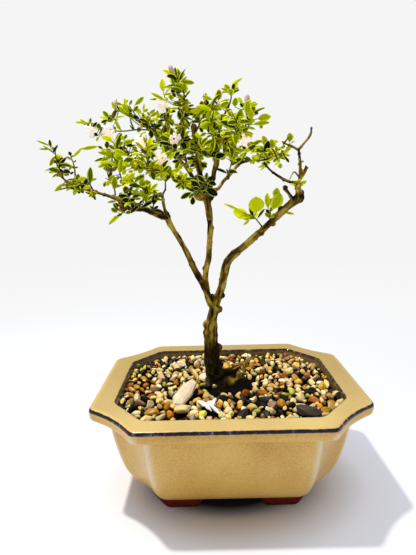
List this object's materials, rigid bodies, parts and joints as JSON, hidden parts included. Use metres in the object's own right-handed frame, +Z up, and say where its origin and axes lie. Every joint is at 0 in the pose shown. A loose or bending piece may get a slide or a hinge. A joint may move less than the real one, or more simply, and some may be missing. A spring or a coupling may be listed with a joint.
{
  "type": "serissa bonsai in a pot",
  "caption": "Serissa bonsai with a forked trunk, small variegated leaves and white trumpet flowers, rooted under gravel in a rectangular glazed pot with indented corners on bracket feet.",
  "frame": {"origin": "on the surface the feet stand on, under the middle of the whole plant and pot", "axes": "+Z up along the trunk, +X to the right along the pot's long side, -Y to the front"},
  "size_m": [0.1733, 0.12, 0.2468],
  "materials": {
    "glazed_stoneware": "satin",
    "screen_plastic": "matte",
    "soil": "matte",
    "gravel": "matte",
    "pale_stone": "satin",
    "dark_stone": "satin",
    "bark": "matte",
    "leaf": "satin",
    "petal": "matte",
    "bud": "matte"
  },
  "bodies": {
    "root": {"bud_crown": "bud", "bud_left": "bud", "bud_right": "bud", "bud_top": "bud", "cream_stone": "pale_stone", "dark_stone": "dark_stone", "drain_screen_left": "screen_plastic", "drain_screen_right": "screen_plastic", "flower_back": "petal", "flower_face": "petal", "flower_knee": "petal", "flower_right": "petal", "flower_side": "petal", "flower_top_left": "petal", "flower_trumpet": "petal", "gravel": "gravel", "leaves_back_far": "leaf", "leaves_back_front": "leaf", "leaves_back_tip": "leaf", "leaves_bud_shoot": "leaf", "leaves_crown": "leaf", "leaves_drooping": "leaf", "leaves_far_right_back": "leaf", "leaves_far_right_low": "leaf", "leaves_far_right_tip": "leaf", "leaves_far_right_up": "leaf", "leaves_flowering": "leaf", "leaves_front_knee": "leaf", "leaves_front_tip": "leaf", "leaves_front_up": "leaf", "leaves_heart": "leaf", "leaves_inner_left": "leaf", "leaves_inner_low": "leaf", "leaves_left_curl": "leaf", "leaves_left_front": "leaf", "leaves_left_low": "leaf", "leaves_left_middle": "leaf", "leaves_left_tip": "leaf", "leaves_lime_left": "leaf", "leaves_lime_right": "leaf", "leaves_middle_elbow": "leaf", "leaves_middle_left": "leaf", "leaves_middle_right": "leaf", "leaves_middle_tip": "leaf", "leaves_middle_up": "leaf", "leaves_right_low": "leaf", "leaves_right_tip": "leaf", "leaves_sprout": "leaf", "leaves_spur_inner": "leaf", "leaves_spur_low": "leaf", "leaves_spur_middle": "leaf", "leaves_top": "leaf", "leaves_top_left": "leaf", "leaves_upright": "leaf", "leaves_upright_side": "leaf", "pot": "glazed_stoneware", "shard_stone": "pale_stone", "soil": "soil", "trunk_and_branches": "bark", "white_stone": "pale_stone"}
  },
  "joints": []
}
